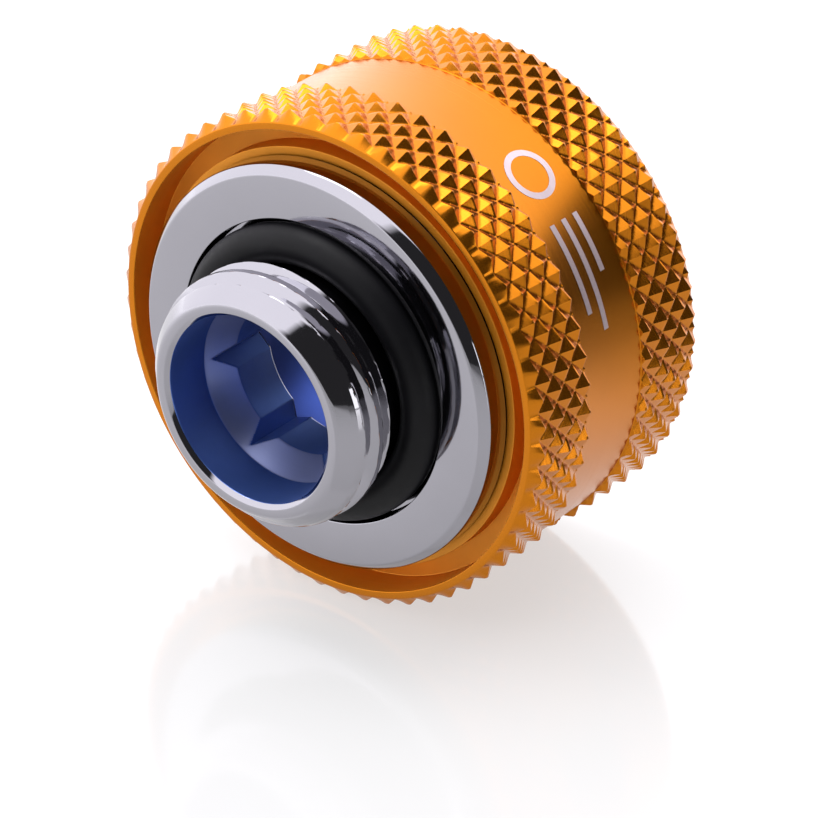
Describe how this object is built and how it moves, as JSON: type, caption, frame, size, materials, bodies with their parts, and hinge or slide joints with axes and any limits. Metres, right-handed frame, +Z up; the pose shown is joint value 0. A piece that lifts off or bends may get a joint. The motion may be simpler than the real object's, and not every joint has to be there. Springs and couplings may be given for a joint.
{
  "type": "tube compression fitting",
  "caption": "Chromed port fitting with a threaded nose, a face O-ring and a gold knurled collar that screws back to clamp a rigid tube.",
  "frame": {"origin": "centre of the flange's sealing face, on the axis of the port thread", "axes": "+Y along the axis from the port thread to the tube end, +Z up with the fitting lying on its collar"},
  "size_m": [0.026, 0.0195, 0.026],
  "materials": {
    "chrome": "polished chrome plate on brass; entry bore lacquered deep blue",
    "gold": "orange-gold anodised, satin, diamond knurled",
    "black_rubber": "smooth black nitrile",
    "nylon": "natural nylon"
  },
  "bodies": {
    "fitting": {"fitting_body": "chrome", "port_o_ring": "black_rubber", "tube_o_ring_front": "black_rubber", "tube_o_ring_rear": "black_rubber", "compression_seal": "black_rubber"},
    "carrier": {"thrust_washer": "nylon", "grip_ring": "nylon"},
    "collar": {"collar": "gold"}
  },
  "joints": [
    {"name": "collar_advance", "type": "slide", "parent": "fitting", "child": "carrier", "axis": [0, 1, 0], "range_m": [0, 0.00351]},
    {"name": "collar_turn", "type": "hinge", "parent": "carrier", "child": "collar", "pos_m": [0, 0, 0], "axis": [0, 1, 0], "range_deg": [0, 1260]}
  ],
  "couplings": [
    {"joint": "collar_advance", "follows": "collar_turn", "m_per_rad": 0.00015915}
  ]
}
